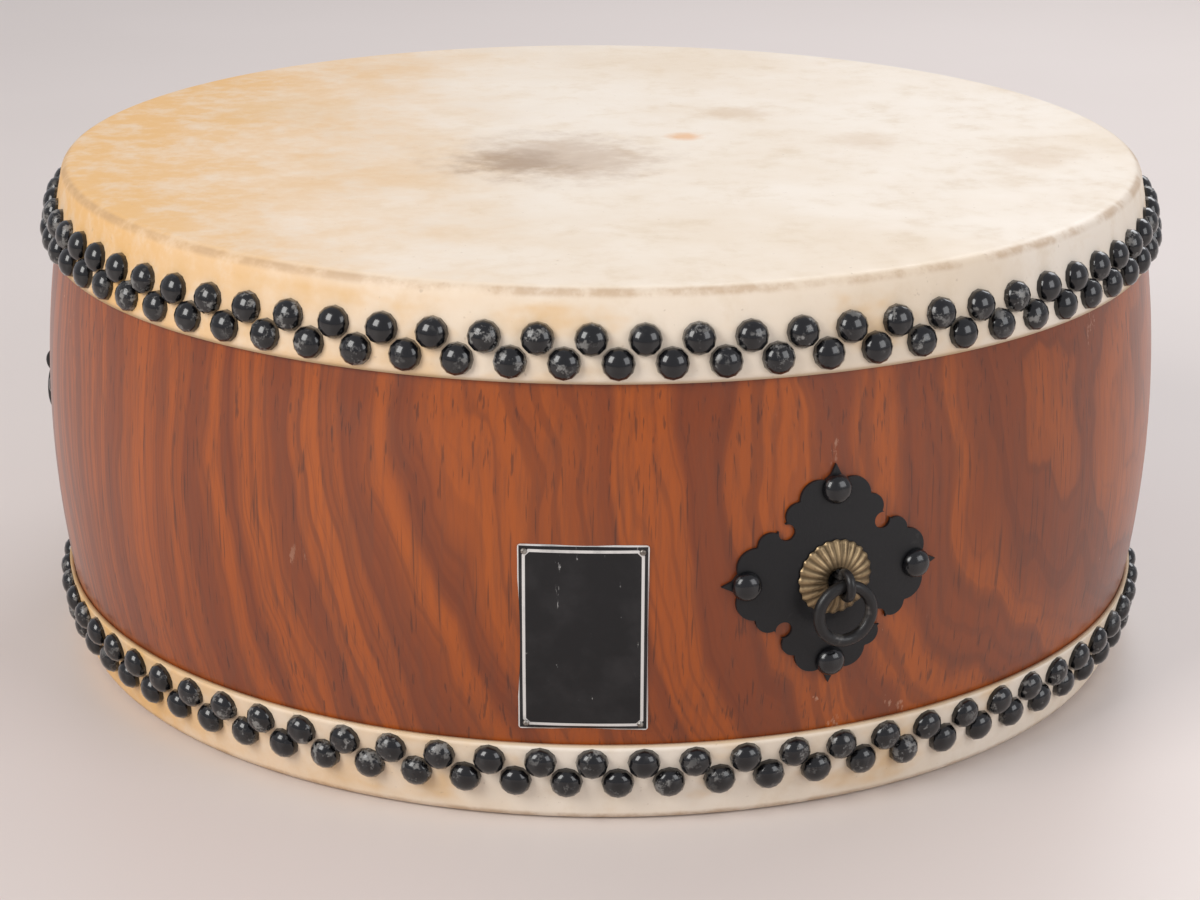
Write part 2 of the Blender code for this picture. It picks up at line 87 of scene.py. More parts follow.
# Ring plates, their nails and washers. A lobe is its centre, radius, and first and last angle.
FITTING_HEIGHT = 0.1295
PLATE_THICKNESS = 0.0016
PLATE_TOP = 0.0022
PLATE_GRID = 0.0040
PLATE_TIP = ((0.0, 0.0575), (0.0026, 0.0522))
OUTER_LOBE = ((0.0090, 0.0403), 0.0098, math.radians(108), 0.0)
INNER_LOBE = ((0.0193, 0.0332), 0.0067, math.radians(88), math.radians(-24))
NOTCH = ((0.0255, 0.0255), 0.00425, math.radians(78), math.radians(225))
NAIL_DISTANCE = 0.045
NAIL_PLACES = {"top": (0, 1), "bottom": (0, -1), "left": (-1, 0), "right": (1, 0)}
NAIL_FULLNESS = 0.92
SHANK_SHARE = 0.8
WASHER_HOLE = 0.0057
WASHER_RIM = 0.0195
WASHER_RISE = 0.0044
WASHER_EDGE = 0.00005
WASHER_FALL = 2.4
WASHER_SIDES = 288
FLUTES = 24
FLUTE_DEPTH = 0.0007
FLUTE_LIMIT = 0.85

# Split pins and rings
EYE_STOCK = 0.0045
EYE_STANDOFF = 0.0148
EYE_RADIUS = 0.00605
LEG_GAP = 0.0004
LEG_LENGTH = 0.026
PIN_SIDES = 24
RING_STOCK = 0.0060
RING_RADIUS = 0.0140
RING_DROP = 0.00045
RING_SEGMENTS = 96
RING_SIDES = 28

# Plain plate beside the front fitting
NAME_PLATE_AZIMUTH = math.radians(-22.5)
NAME_PLATE_HEIGHT = 0.1029
NAME_PLATE_HALF = (0.03175, 0.0495)
NAME_PLATE_CORNER = 0.0015
NAME_PLATE_THICKNESS = 0.0008
NAME_PLATE_GRID = 0.0050
PIN_INSET = 0.0034
PIN_PLACES = {
    "top_left": (-1, 1),
    "top_right": (1, 1),
    "bottom_left": (-1, -1),
    "bottom_right": (1, -1),
}
UV_SCALE = 10

# The photograph's camera, fitted to the drum
CAMERA_AZIMUTH = math.radians(-21.1)
CAMERA_DISTANCE = 1.5589
CAMERA_HEIGHT = 0.6296
CAMERA_PITCH = 0.3324
CAMERA_ROLL = 0.0052
CAMERA_LENS = 83.6
SENSOR_WIDTH = 36


# Places on the drum
def barrel_radius(height):
    """The wood's outer radius: a parabola of the height, widest half way up."""
    return BELLY_RADIUS - BELLY_RISE * ((height - MIDDLE) / HALF_LOG) ** 2


def barrel_tilt(height):
    """How far the wood's outward normal leans up from level, from the parabola's slope."""
    return np.arctan(2 * BELLY_RISE * (height - MIDDLE) / HALF_LOG**2)


def at(radius, azimuth, height):
    """Points from radii, azimuths and heights, each of them a number or an array."""
    x = radius * np.sin(azimuth)
    y = -radius * np.cos(azimuth)
    return np.stack(np.broadcast_arrays(x, y, height), axis=-1)


def seat_axes(azimuth, tilt):
    """Rows X across, Y up the side and Z straight out, for one azimuth or for each of several."""
    outward = at(math.cos(tilt), azimuth, math.sin(tilt))
    across = np.stack(np.broadcast_arrays(np.cos(azimuth), np.sin(azimuth), 0.0), axis=-1)
    return np.stack([across, np.cross(outward, across), outward], axis=-2)


def seat(azimuth, height, level=False, out=0.0):
    """Axes and origin on the wood, square to it or level with the floor, moved out by a distance."""
    axes = seat_axes(azimuth, 0.0 if level else float(barrel_tilt(height)))
    return axes, at(barrel_radius(height), azimuth, height) + out * axes[2]


def beside(azimuth, height, across, up, out):
    """A seat on the wood some way across and up from another one at the same azimuth."""
    aside = azimuth + math.asin(across / barrel_radius(height))
    return seat(aside, height + up, out=out)


def placed(points, where):
    """Points of a seat's own axes, in the drum's."""
    axes, place = where
    return points @ axes + place


def turned(points, azimuth):
    """Points turned about the drum's axis, from -Y towards +X."""
    cosine = math.cos(azimuth)
    sine = math.sin(azimuth)
    return points @ np.array([[cosine, sine, 0], [-sine, cosine, 0], [0, 0, 1]])


# Meshes
def mesh_piece(name, points, faces, finish, replaced=(), body="drum", uv=None, smooth=True):
    """A finished piece from point and face arrays, riding its body and standing for its CAD nodes."""
    material, slot = finish
    mesh = bpy.data.meshes.new(name)
    mesh.from_pydata(points.tolist(), [], faces)
    mesh.update()
    if uv is not None:
        corners = np.empty(len(mesh.loops), dtype=np.int32)
        mesh.loops.foreach_get("vertex_index", corners)
        layer = mesh.uv_layers.new(name="piece")
        layer.data.foreach_set("uv", uv.astype(np.float32)[corners].ravel())
    mesh.polygons.foreach_set("use_smooth", np.full(len(mesh.polygons), smooth))
    mesh.materials.append(material)
    obj = bpy.data.objects.new(name, mesh)
    bpy.context.scene.collection.objects.link(obj)
    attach(obj, body)
    if replaced:
        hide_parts(*replaced)


def face_list(*arrays):
    """Faces of several arrays, with as many corners as each array has, in one list."""
    return [face for array in arrays for face in array.tolist()]


def grid_faces(rows, columns, wrap_rows=False):
    """Quads between neighbouring rows and columns. Columns close on themselves, and rows may."""
    row = np.arange(rows if wrap_rows else rows - 1)
    row, column = (a.ravel() for a in np.meshgrid(row, np.arange(columns), indexing="ij"))
    next_row = (row + 1) % rows
    next_column = (column + 1) % columns
    corners = ((row, column), (row, next_column), (next_row, next_column), (next_row, column))
    return np.stack([r * columns + c for r, c in corners], axis=1)


def fan(first, sides, pole):
    """Triangles to a pole from the edges of a closed ring of points, whose first index is given."""
    column = np.arange(sides)
    return np.stack([first + column, first + (column + 1) % sides, np.full(sides, pole)], axis=1)


def circle(sides):
    """The angles of a closed ring of points."""
    return np.arange(sides) * TURN / sides


def revolve(profile, sides):
    """Each profile point (r, z) swept round Z."""
    radius = profile[:, :1]
    height = profile[:, 1:]
    return at(radius, circle(sides), height).reshape(-1, 3)


def revolved_solid(profile, sides):
    """A closed body of revolution, its profile running from pole to pole by way of its outside."""
    rows = len(profile) - 2
    poles = at(profile[[0, -1], 0], 0.0, profile[[0, -1], 1])
    points = np.vstack([revolve(profile[1:-1], sides), poles])
    first_pole = rows * sides
    side = grid_faces(rows, sides)[:, ::-1]
    start = fan(0, sides, first_pole)
    end = fan(first_pole - sides, sides, first_pole + 1)[:, ::-1]
    return points, face_list(side, start, end)


def arc(centre, radius, start, end, steps):
    """Points centre + radius (cos t, sin t) of a plane arc, both ends included."""
    angle = np.linspace(start, end, steps)
    return np.stack([centre[0] + radius * np.cos(angle), centre[1] + radius * np.sin(angle)], axis=1)


def nail(radius, height, sides, rings, shank, length):
    """A round-headed nail along Z, on a pointed rod.

    The head is (R sin^p u, H cos^p u), whose power p is a little under 1 and makes it fuller than an
    ellipse."""
    rise = np.linspace(0, QUARTER, rings)
    head_radius = radius * np.sin(rise) ** NAIL_FULLNESS
    head_height = height * np.cos(rise) ** NAIL_FULLNESS
    head = np.stack([head_radius, head_height], axis=1)
    head[-1] = (radius, 0)
    rod = [[shank, 0.0], [shank, -length * SHANK_SHARE], [0.0, -length]]
    return revolved_solid(np.vstack([head, rod]), sides)


def bent_sheet(outline, height, thickness, spacing):
    """A flat outline filled with a triangle grid, laid on the barrel at azimuth 0 and thickened.

    A point (x, y) goes to (x, -sqrt(r(z)^2 - x^2), z) with z = height + y, r being the barrel's radius
    plus the distance off the wood. The outline is UV mapped in its own plane, UV_SCALE to the metre."""
    least_edge_distance = spacing * 0.4
    inside_the_outline = 1
    tolerance = 1e-7
    low = outline.min(axis=0) + spacing / 2
    high = outline.max(axis=0)
    inner = np.stack(np.meshgrid(*(np.arange(*ends, spacing) for ends in zip(low, high))), axis=-1)
    inner = inner.reshape(-1, 2)
    edge_distance = np.min(np.linalg.norm(inner[:, None] - outline[None], axis=2), axis=1)
    inner = inner[edge_distance > least_edge_distance]
    loop = list(range(len(outline)))
    edges = list(zip(loop, loop[1:] + loop[:1]))
    flat = [Vector(point) for point in np.vstack([outline, inner]).tolist()]
    found = delaunay_2d_cdt(flat, edges, [loop], inside_the_outline, tolerance)
    plane = np.array([list(point) for point in found[0]])
    faces = np.array([list(face) for face in found[2]])
    first, second, third = (plane[faces[:, i]] for i in range(3))
    downward = np.cross(second - first, third - first) < 0
    faces[downward] = faces[downward][:, ::-1]
    sides = np.vstack([faces[:, [0, 1]], faces[:, [1, 2]], faces[:, [2, 0]]])
    directed = set(map(tuple, sides.tolist()))
    rim = np.array([edge for edge in directed if edge[::-1] not in directed])
    level = height + plane[:, 1]
    layers = []
    for out in (GAP + thickness, GAP):
        depth = np.sqrt((barrel_radius(level) + out) ** 2 - plane[:, 0] ** 2)
        layers.append(np.stack([plane[:, 0], -depth, level], axis=1))
    behind = len(plane)
    walls = np.stack([rim[:, 1], rim[:, 0], rim[:, 0] + behind, rim[:, 1] + behind], axis=1)
    uv = np.vstack([plane, plane]) * UV_SCALE
    return np.vstack(layers), face_list(faces, faces[:, ::-1] + behind, walls), uv


# Materials
def give(tree, socket, value):
    """Link another node's output to a socket, or set the socket's own constant."""
    if isinstance(value, bpy.types.NodeSocket):
        tree.links.new(value, socket)
    elif socket.type == "RGBA":
        socket.default_value = (*value, 1)
    else:
        socket.default_value = value


def add(tree, kind, inputs, **settings):
    """A node with its settings and its inputs."""
    node = tree.nodes.new(kind)
    for key, value in settings.items():
        setattr(node, key, value)
    for key, value in inputs.items():
        give(tree, node.inputs[key], value)
    return node


def drive(tree, shader, **values):
    """Give the shader's inputs their values, their names having underscores for spaces."""
    for key, value in values.items():
        give(tree, shader.inputs[key.replace("_", " ")], value)


def maths(tree, operation, *values, clamp=False):
    """A number worked out by a maths node, kept from 0 to 1 if clamped."""
    inputs = dict(enumerate(values))
    return add(tree, "ShaderNodeMath", inputs, operation=operation, use_clamp=clamp).outputs[0]


def vector_maths(tree, operation, first, second, output="Vector"):
    """A vector worked out from two others, or a number where output is Value."""
    inputs = {0: first, 1: second}
    return add(tree, "ShaderNodeVectorMath", inputs, operation=operation).outputs[output]


def split(tree, vector):
    """The three numbers of a vector."""
    return add(tree, "ShaderNodeSeparateXYZ", {0: vector}).outputs


def mix(tree, share, first, second):
    """The first colour where share is 0, the second where it is 1. The colour inputs are 6 and 7."""
    return add(tree, "ShaderNodeMix", {0: share, 6: first, 7: second}, data_type="RGBA").outputs[2]


def layered(tree, colour, layers):
    """A colour with tints laid over it in turn, each as far as its cover says."""
    for cover, tint in layers:
        colour = mix(tree, cover, colour, tint)
    return colour


def ramp(tree, value, low, high, start=0.0, end=1.0):
    """A smooth step: start where value is at low, end where it is at high."""
    inputs = dict(enumerate((value, low, high, start, end)))
    return add(tree, "ShaderNodeMapRange", inputs, interpolation_type="SMOOTHSTEP").outputs[0]


def noise(tree, place, scale, detail, roughness, stretch=None, dimensions="3D"):
    """Fractal noise from 0 to 1, at a vector, or at a number where dimensions is 1D."""
    if stretch is not None:
        place = vector_maths(tree, "MULTIPLY", place, stretch)
    place_input = "W" if dimensions == "1D" else "Vector"
    inputs = {place_input: place, "Scale": scale, "Detail": detail, "Roughness": roughness}
    return add(tree, "ShaderNodeTexNoise", inputs, noise_dimensions=dimensions).outputs[0]


def start_material(name, **values):
    """A material with constants on its shader, and the place on the object as a vector."""
    material = bpy.data.materials.new(name)
    material.use_nodes = True
    tree = material.node_tree
    shader = tree.nodes["Principled BSDF"]
    drive(tree, shader, **values)
    position = tree.nodes.new("ShaderNodeTexCoord").outputs["Object"]
    return material, tree, shader, position


def piece_uv(tree):
    """The two numbers of the piece's own UV map."""
    return split(tree, add(tree, "ShaderNodeUVMap", {}, uv_map="piece").outputs[0])


def bump(tree, height, strength, distance):
    """A normal tilted as if the height, times the distance, stood up from the surface."""
    inputs = {"Height": height, "Strength": strength, "Distance": distance}
    return add(tree, "ShaderNodeBump", inputs).outputs[0]


def spot_group():
    """How strongly a soft ragged stain covers a place: 1 near its centre, 0 from about its reach on."""
    group = bpy.data.node_groups.new("Soft spot", "ShaderNodeTree")
    sockets = {"Position": "NodeSocketVector", "Centre": "NodeSocketVector", "Reach": "NodeSocketFloat"}
    for name, kind in sockets.items():
        group.interface.new_socket(name, in_out="INPUT", socket_type=kind)
    group.interface.new_socket("Cover", in_out="OUTPUT", socket_type="NodeSocketFloat")
    source = group.nodes.new("NodeGroupInput").outputs
    sink = group.nodes.new("NodeGroupOutput").inputs
    ragged = noise(group, source["Position"], scale=60, detail=5, roughness=0.65)
    distance = vector_maths(group, "DISTANCE", source["Position"], source["Centre"], "Value")
    share = maths(group, "DIVIDE", distance, source["Reach"])
    share = maths(group, "ADD", share, maths(group, "MULTIPLY_ADD", ragged, 1.2, -0.6))
    group.links.new(ramp(group, share, 1.0, 0.2), sink["Cover"])
    return group


def wood_material():
    """Lacquered zelkova, whose rings round a pith beside the drum's axis meet the bellied side in flames.

    The ring coordinate is the distance from the pith's line, plus a share of the height and two noises.
    Broad bands and fine lines are noises of that coordinate. Fibres and pores are noises drawn out
    along the grain, and pale scuffs lie in patches."""
    material, tree, shader, position = start_material(
        "zelkova", Roughness=0.45, Specular_IOR_Level=0.35, Coat_Weight=0.42, Coat_IOR=1.5
    )
    pith = (-0.17, 0.16, 0.0)
    sway = noise(tree, position, scale=7, detail=3, roughness=0.5, stretch=(1, 1, 0.55))
    ripple = noise(tree, position, scale=38, detail=3, roughness=0.55, stretch=(1, 1, 0.25))
    x, y, z = split(tree, vector_maths(tree, "SUBTRACT", position, pith))
    squares = [maths(tree, "POWER", part, 2.0) for part in (x, y)]
    ring = maths(tree, "SQRT", maths(tree, "ADD", *squares))
    for part, share in ((z, 0.085), (sway, 0.055), (ripple, 0.006)):
        ring = maths(tree, "MULTIPLY_ADD", part, share, ring)
    bands = noise(tree, ring, scale=66, detail=1.5, roughness=0.5, dimensions="1D")
    lines = noise(tree, ring, scale=300, detail=2, roughness=0.6, dimensions="1D")
    fibres = noise(tree, position, scale=260, detail=4, roughness=0.65, stretch=(1, 1, 0.045))
    pores = noise(tree, position, scale=620, detail=2, roughness=0.5, stretch=(1, 1, 0.035))
    cloud = noise(tree, position, scale=5, detail=3, roughness=0.5)
    scuffs = noise(tree, position, scale=90, detail=5, roughness=0.7, stretch=(1, 1, 0.5))
    patches = noise(tree, position, scale=11, detail=2, roughness=0.5)
    worn = maths(tree, "MULTIPLY", ramp(tree, scuffs, 0.62, 0.70), ramp(tree, patches, 0.55, 0.68))
    dullness = ramp(tree, patches, 0.35, 0.7, 0.12, 0.24)
    red_brown = (0.245, 0.042, 0.002)
    orange = (0.41, 0.092, 0.005)
    layers = (
        (ramp(tree, bands, 0.38, 0.64, 0, 0.66), (0.120, 0.020, 0.005)),
        (ramp(tree, lines, 0.44, 0.68, 0, 0.46), (0.115, 0.021, 0.004)),
        (ramp(tree, fibres, 0.40, 0.72, 0, 0.45), (0.13, 0.034, 0.012)),
        (ramp(tree, pores, 0.60, 0.70, 0, 0.55), (0.045, 0.012, 0.005)),
        (maths(tree, "MULTIPLY", worn, 0.5), (0.48, 0.30, 0.20)),
    )
    drive(
        tree,
        shader,
        Base_Color=layered(tree, mix(tree, cloud, red_brown, orange), layers),
        Coat_Roughness=maths(tree, "MULTIPLY_ADD", worn, 0.2, dullness),
        Normal=bump(tree, maths(tree, "MULTIPLY_ADD", pores, -0.4, fibres), 0.35, 0.0003),
    )
    return material


# Stains on the top face: head radii to the right of and away from the photograph's viewer, the reach
# in metres, the tint and its strength.
STAINS = (
    (-0.09, -0.12, 0.082, (0.35, 0.21, 0.11), 0.50),
    (-0.15, -0.16, 0.040, (0.24, 0.14, 0.07), 0.50),
    (0.26, 0.28, 0.030, (0.52, 0.34, 0.17), 0.45),
    (0.16, 0.07, 0.014, (0.70, 0.33, 0.09), 0.65),
    (0.50, 0.04, 0.032, (0.55, 0.38, 0.22), 0.38),
    (0.80, -0.08, 0.034, (0.55, 0.38, 0.22), 0.38),
    (-0.62, 0.30, 0.060, (0.66, 0.42, 0.18), 0.35),
)
VIEWER_RIGHT = np.array([math.cos(CAMERA_AZIMUTH), math.sin(CAMERA_AZIMUTH), 0.0])
VIEWER_AHEAD = np.array([-math.sin(CAMERA_AZIMUTH), math.cos(CAMERA_AZIMUTH), 0.0])


def hide_material():
    """Dry cow hide: cream with a mottle, amber on the viewer's left, stains, and darker edges.

    The crease, the skirt and the cut edge are told by the distance from half way up the drum."""
    material, tree, shader, position = start_material("cow_hide", Coat_Weight=0.05)
    cream = (0.79, 0.705, 0.60)
    tan = (0.72, 0.60, 0.46)
    cloud = noise(tree, position, scale=6, detail=5, roughness=0.6)
    mottle = noise(tree, position, scale=45, detail=6, roughness=0.65)
    specks = noise(tree, position, scale=330, detail=2, roughness=0.5)
    blotches = noise(tree, position, scale=13, detail=4, roughness=0.6, stretch=(1, 1, 1.6))
    aside = vector_maths(tree, "DOT_PRODUCT", position, tuple(-VIEWER_RIGHT), "Value")
    aside = maths(tree, "MULTIPLY_ADD", cloud, 0.28, aside)
    amber = ramp(tree, mottle, 0.28, 0.60, 0.45, 0.95)
    amber = maths(tree, "MULTIPLY", ramp(tree, aside, 0.16, 0.42), amber)
    layers = [
        (ramp(tree, mottle, 0.48, 0.78, 0, 0.4), (0.60, 0.46, 0.30)),
        (amber, (0.70, 0.41, 0.15)),
    ]
    spot = spot_group()
    for right, ahead, reach, tint, strength in STAINS:
        centre = HEAD_RADIUS * (right * VIEWER_RIGHT + ahead * VIEWER_AHEAD) + (0, 0, HEIGHT)
        inputs = {"Position": position, "Centre": tuple(centre), "Reach": reach}
        node = tree.nodes.new("ShaderNodeGroup")
        node.node_tree = spot
        for key, value in inputs.items():
            give(tree, node.inputs[key], value)
        layers.append((maths(tree, "MULTIPLY", node.outputs["Cover"], strength), tint))
    height = split(tree, position)[2]
    from_middle = maths(tree, "ABSOLUTE", maths(tree, "SUBTRACT", height, MIDDLE))
    crease_start = ramp(tree, from_middle, 0.1325, 0.1352)
    crease_end = ramp(tree, from_middle, 0.1379, 0.1366)
    crease = maths(tree, "MULTIPLY", crease_start, crease_end)
    crease = maths(tree, "MULTIPLY", crease, ramp(tree, mottle, 0.40, 0.62, 0.15, 0.60))
    skirt = ramp(tree, from_middle, 0.134, 0.128)
    skirt = maths(tree, "MULTIPLY", skirt, ramp(tree, blotches, 0.52, 0.70))
    cut_edge = ramp(tree, from_middle, 0.0952, 0.0936)
    layers += [
        (crease, (0.42, 0.27, 0.15)),
        (maths(tree, "MULTIPLY", skirt, 0.6), (0.66, 0.40, 0.15)),
        (maths(tree, "MULTIPLY", cut_edge, 0.7), (0.46, 0.30, 0.15)),
        (ramp(tree, specks, 0.70, 0.78, 0, 0.35), (0.38, 0.27, 0.18)),
    ]
    drive(
        tree,
        shader,
        Base_Color=layered(tree, mix(tree, ramp(tree, cloud, 0.32, 0.70), cream, tan), layers),
        Roughness=ramp(tree, mottle, 0.3, 0.7, 0.50, 0.68),
        Normal=bump(tree, maths(tree, "MULTIPLY_ADD", specks, 0.35, mottle), 0.30, 0.0006),
    )
    return material


def tack_material():
    """Glossy black, rubbed grey in small ragged places on some of the heads."""
    material, tree, shader, position = start_material(
        "black_tack", Coat_Roughness=0.05, Specular_IOR_Level=0.3
    )
    marks = ramp(tree, noise(tree, position, scale=150, detail=5, roughness=0.7), 0.53, 0.64)
    rubbed = ramp(tree, noise(tree, position, scale=24, detail=2, roughness=0.5), 0.38, 0.56)
    worn = maths(tree, "MULTIPLY", marks, rubbed)
    drive(
        tree,
        shader,
        Base_Color=mix(tree, worn, (0.004, 0.004, 0.005), (0.20, 0.195, 0.185)),
        Roughness=maths(tree, "MULTIPLY_ADD", worn, 0.30, 0.20),
        Coat_Weight=maths(tree, "MULTIPLY_ADD", worn, -0.5, 0.6, clamp=True),
    )
    return material


def iron_material(name, dark, pale, roughness, coat, wear):
    """Black iron whose rubbed places go grey; wear is how much of it is rubbed."""
    material, tree, shader, position = start_material(
        name, Coat_Weight=coat, Coat_Roughness=0.12, Specular_IOR_Level=0.3
    )
    cloud = noise(tree, position, scale=60, detail=5, roughness=0.65)
    grit = noise(tree, position, scale=520, detail=3, roughness=0.6)
    rubbed = ramp(tree, cloud, 0.66 - wear, 0.82 - wear)
    drive(
        tree,
        shader,
        Base_Color=mix(tree, rubbed, dark, pale),
        Metallic=maths(tree, "MULTIPLY", rubbed, 0.75),
        Roughness=maths(tree, "MULTIPLY_ADD", grit, 0.22, roughness),
        Normal=bump(tree, maths(tree, "MULTIPLY_ADD", cloud, 1.4, grit), 0.35, 0.0003),
    )
    return material


def brass_material():
    """Dull brass, brighter on the flutes' crests. U counts the flutes, and V runs from hole to rim."""
    material, tree, shader, position = start_material("old_brass", Metallic=0.9)
    flute, outward = piece_uv(tree)[:2]
    wave = maths(tree, "COSINE", maths(tree, "MULTIPLY", flute, TURN))
    grime = noise(tree, position, scale=260, detail=4, roughness=0.6)
    bright = ramp(tree, wave, -1.0, 0.5, 0.25, 1.0)
    bright = maths(tree, "MULTIPLY", bright, ramp(tree, outward, 0.12, 0.5, 0.3, 1.0))
    bright = maths(tree, "MULTIPLY", bright, ramp(tree, grime, 0.30, 0.60, 0.5, 1.0))
    drive(
        tree,
        shader,
        Base_Color=mix(tree, bright, (0.085, 0.058, 0.032), (0.36, 0.26, 0.145)),
        Roughness=ramp(tree, grime, 0.3, 0.7, 0.34, 0.55),
        Normal=bump(tree, grime, 0.2, 0.0002),
    )
    return material


def enamel_material():
    """Black paint with a silver edge and a silver line inside it that cuts the corners.

    The piece's UV is its own plane in decimetres from its middle, and so are the distances here."""
    material, tree, shader, position = start_material(
        "black_enamel", Coat_Weight=0.12, Coat_Roughness=0.2, Specular_IOR_Level=0.3
    )
    line_inset = 0.0300
    corner_cut = -0.030
    places = [maths(tree, "ABSOLUTE", part) for part in piece_uv(tree)[:2]]
    across, up = (maths(tree, "SUBTRACT", h * UV_SCALE, p) for h, p in zip(NAME_PLATE_HALF, places))
    edge = maths(tree, "MINIMUM", across, up)
    corner = maths(tree, "MULTIPLY_ADD", maths(tree, "ADD", across, up), 0.7071, corner_cut)
    inset = maths(tree, "SUBTRACT", maths(tree, "MINIMUM", edge, corner), line_inset)
    line = ramp(tree, maths(tree, "ABSOLUTE", inset), 0.0084, 0.0062)
    rim = ramp(tree, edge, 0.0075, 0.0050)
    scratches = noise(tree, position, scale=300, detail=4, roughness=0.7, stretch=(1, 1, 0.3))
    cloud = noise(tree, position, scale=40, detail=4, roughness=0.6)
    rubbed = ramp(tree, scratches, 0.66, 0.74, 0, 0.5)
    silver = maths(tree, "MAXIMUM", maths(tree, "MAXIMUM", line, rim), rubbed)
    silver = maths(tree, "MULTIPLY", silver, ramp(tree, cloud, 0.30, 0.46, 0.55, 1.0))
    field = mix(tree, ramp(tree, cloud, 0.4, 0.7), (0.006, 0.006, 0.007), (0.016, 0.015, 0.016))
    drive(
        tree,
        shader,
        Base_Color=mix(tree, silver, field, (0.74, 0.73, 0.71)),
        Metallic=maths(tree, "MULTIPLY", silver, 0.6),
        Roughness=ramp(tree, cloud, 0.3, 0.7, 0.30, 0.46),
        Normal=bump(tree, scratches, 0.15, 0.0002),
    )
    return material


def steel_material():
    """Dull steel with fine grime."""
    material, tree, shader, position = start_material("dull_steel", Metallic=0.9)
    grime = noise(tree, position, scale=700, detail=4, roughness=0.6)
    drive(
        tree,
        shader,
        Base_Color=mix(tree, ramp(tree, grime, 0.35, 0.65), (0.42, 0.40, 0.37), (0.16, 0.14, 0.12)),
        Roughness=ramp(tree, grime, 0.3, 0.7, 0.32, 0.55),
    )
    return material


# Each finish is a material and the record's slot for it.
WOOD = (wood_material(), "wood")
HIDE = (hide_material(), "hide")
TACK_BLACK = (tack_material(), "tack")
PLATE_IRON = (
    iron_material(
        "satin_iron",
        dark=(0.006, 0.006, 0.007),
        pale=(0.060, 0.057, 0.055),
        roughness=0.36,
        coat=0.10,
        wear=0.04,
    ),
    "iron",
)
NAIL_IRON = (
    iron_material(
        "glossy_nail_iron",
        dark=(0.004, 0.004, 0.005),
        pale=(0.10, 0.097, 0.09),
        roughness=0.12,
        coat=0.55,
        wear=0.02,
    ),
    "iron",
)
RING_IRON = (
    iron_material(
        "worn_ring_iron",
        dark=(0.012, 0.011, 0.011),
        pale=(0.15, 0.14, 0.13),
        roughness=0.28,
        coat=0.12,
        wear=0.10,
    ),
    "iron",
)
BRASS = (brass_material(), "brass")
ENAMEL = (enamel_material(), "enamel")
STEEL = (steel_material(), "steel")


# Log
def rim_centre():
    """The centre and first angle of the rim's arc, which runs smoothly into the flat end and the side."""
    height = LOG_TOP - RIM_RADIUS
    for _ in range(6):
        height = LOG_TOP - RIM_RADIUS * (1 - math.sin(barrel_tilt(height)))
    tilt = float(barrel_tilt(height))
    return (barrel_radius(height) - RIM_RADIUS * math.cos(tilt), LOG_TOP - RIM_RADIUS), tilt


RIM_CENTRE, RIM_TILT = rim_centre()


def build_log():
    """A ring-shaped body of revolution: outside, the barrel's parabola between two round rims.

    The wall inside is thickest at the belly and thins by the square of the distance from it, down to
    the bevelled mouth of the hollow."""
    heights = np.linspace(MIDDLE, SIDE_TOP, 26)
    side = np.stack([barrel_radius(heights), heights], axis=1)
    rim = arc(RIM_CENTRE, RIM_RADIUS, RIM_TILT, QUARTER, 7)
    heights = np.linspace(HOLLOW_TOP, MIDDLE, 14)
    wall = BELLY_WALL - WALL_LOSS * ((heights - MIDDLE) / HALF_LOG) ** 2
    hollow = np.stack([barrel_radius(heights) - wall, heights], axis=1)
    upper = np.vstack([side, rim[1:], HOLLOW_MOUTH, hollow])
    lower = upper[::-1] * (1, -1) + (0, HEIGHT)
    profile = np.vstack([upper, lower[1:-1]])
    faces = face_list(grid_faces(len(profile), DRUM_SIDES, wrap_rows=True))
    mesh_piece("log", revolve(profile, DRUM_SIDES), faces, WOOD, ["body"])


# Hides and tacks
def hide_profile():
    """From the middle of the top face, out over the crease and down to the hem, then back inside."""
    outer = SKIN + GAP
    face_radii = np.linspace(0, RIM_CENTRE[0], 14)[:-1]
    face = np.stack([face_radii, np.full(len(face_radii), HEIGHT)], axis=1)
    crease = arc(RIM_CENTRE, RIM_RADIUS + outer, QUARTER, RIM_TILT, 10)
    heights = np.linspace(RIM_CENTRE[1] + SKIRT_START, HEM, 12)[1:]
    skirt = np.stack([barrel_radius(heights) + outer * np.cos(barrel_tilt(heights)), heights], axis=1)
    inside = np.stack([barrel_radius(heights) + GAP, heights], axis=1)[::-1]
    hem = [[inside[0, 0] + SKIN * HEM_MIDDLE, HEM]]
    inner_crease = arc(RIM_CENTRE, RIM_RADIUS + GAP, RIM_TILT, QUARTER, 5)
    underside = [[UNDERSIDE_RADIUS, HEIGHT - SKIN], [0.0, HEIGHT - SKIN]]
    return np.vstack([face, crease, skirt, hem, inside, inner_crease, underside])


def build_hides():
    """The top hide, and the same body turned over for the bottom one."""
    profile = hide_profile()
    points, faces = revolved_solid(profile, DRUM_SIDES)
    mesh_piece("top_hide", points, faces, HIDE, ["top_head"])
    points, faces = revolved_solid(profile * (1, -1) + (0, HEIGHT), DRUM_SIDES)
    mesh_piece("bottom_hide", points, [face[::-1] for face in faces], HIDE, ["bottom_head"])


